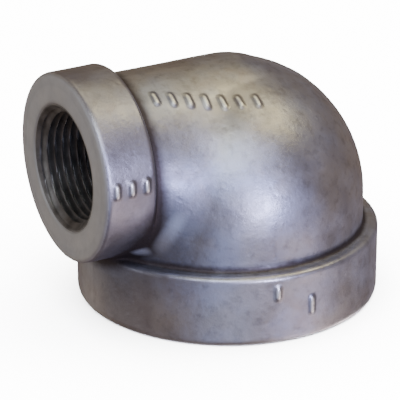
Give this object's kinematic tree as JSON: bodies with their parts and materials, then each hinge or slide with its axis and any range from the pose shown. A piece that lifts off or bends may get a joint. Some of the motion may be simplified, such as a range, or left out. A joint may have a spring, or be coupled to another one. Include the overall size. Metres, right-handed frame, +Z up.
{
  "type": "reducing elbow",
  "caption": "Right-angle reducing elbow for threaded pipe, in malleable iron: a wide tapped socket below and a narrower tapped socket at the side, each with a raised band.",
  "frame": {"origin": "middle of the footprint, in the plane of the large socket's end face", "axes": "+Z up the large socket's axis from its face into the elbow; -X out of the small socket; -Y the side that carries the raised marks"},
  "size_m": [0.092, 0.0845, 0.0704],
  "materials": {
    "cast_iron": "satin, as cast, lightly oiled and mottled",
    "cut_iron": "tapped thread, dark with oil"
  },
  "bodies": {
    "root": {"elbow_body": "cast_iron", "large_end_band": "cast_iron", "small_end_band": "cast_iron", "large_end_thread": "cut_iron", "small_end_thread": "cut_iron", "body_mark_1": "cast_iron", "body_mark_2": "cast_iron", "body_mark_3": "cast_iron", "body_mark_4": "cast_iron", "body_mark_5": "cast_iron", "body_mark_6": "cast_iron", "body_mark_7": "cast_iron", "small_band_mark_1": "cast_iron", "small_band_mark_2": "cast_iron", "small_band_mark_3": "cast_iron", "large_band_mark_1": "cast_iron", "large_band_mark_2": "cast_iron"}
  },
  "joints": []
}
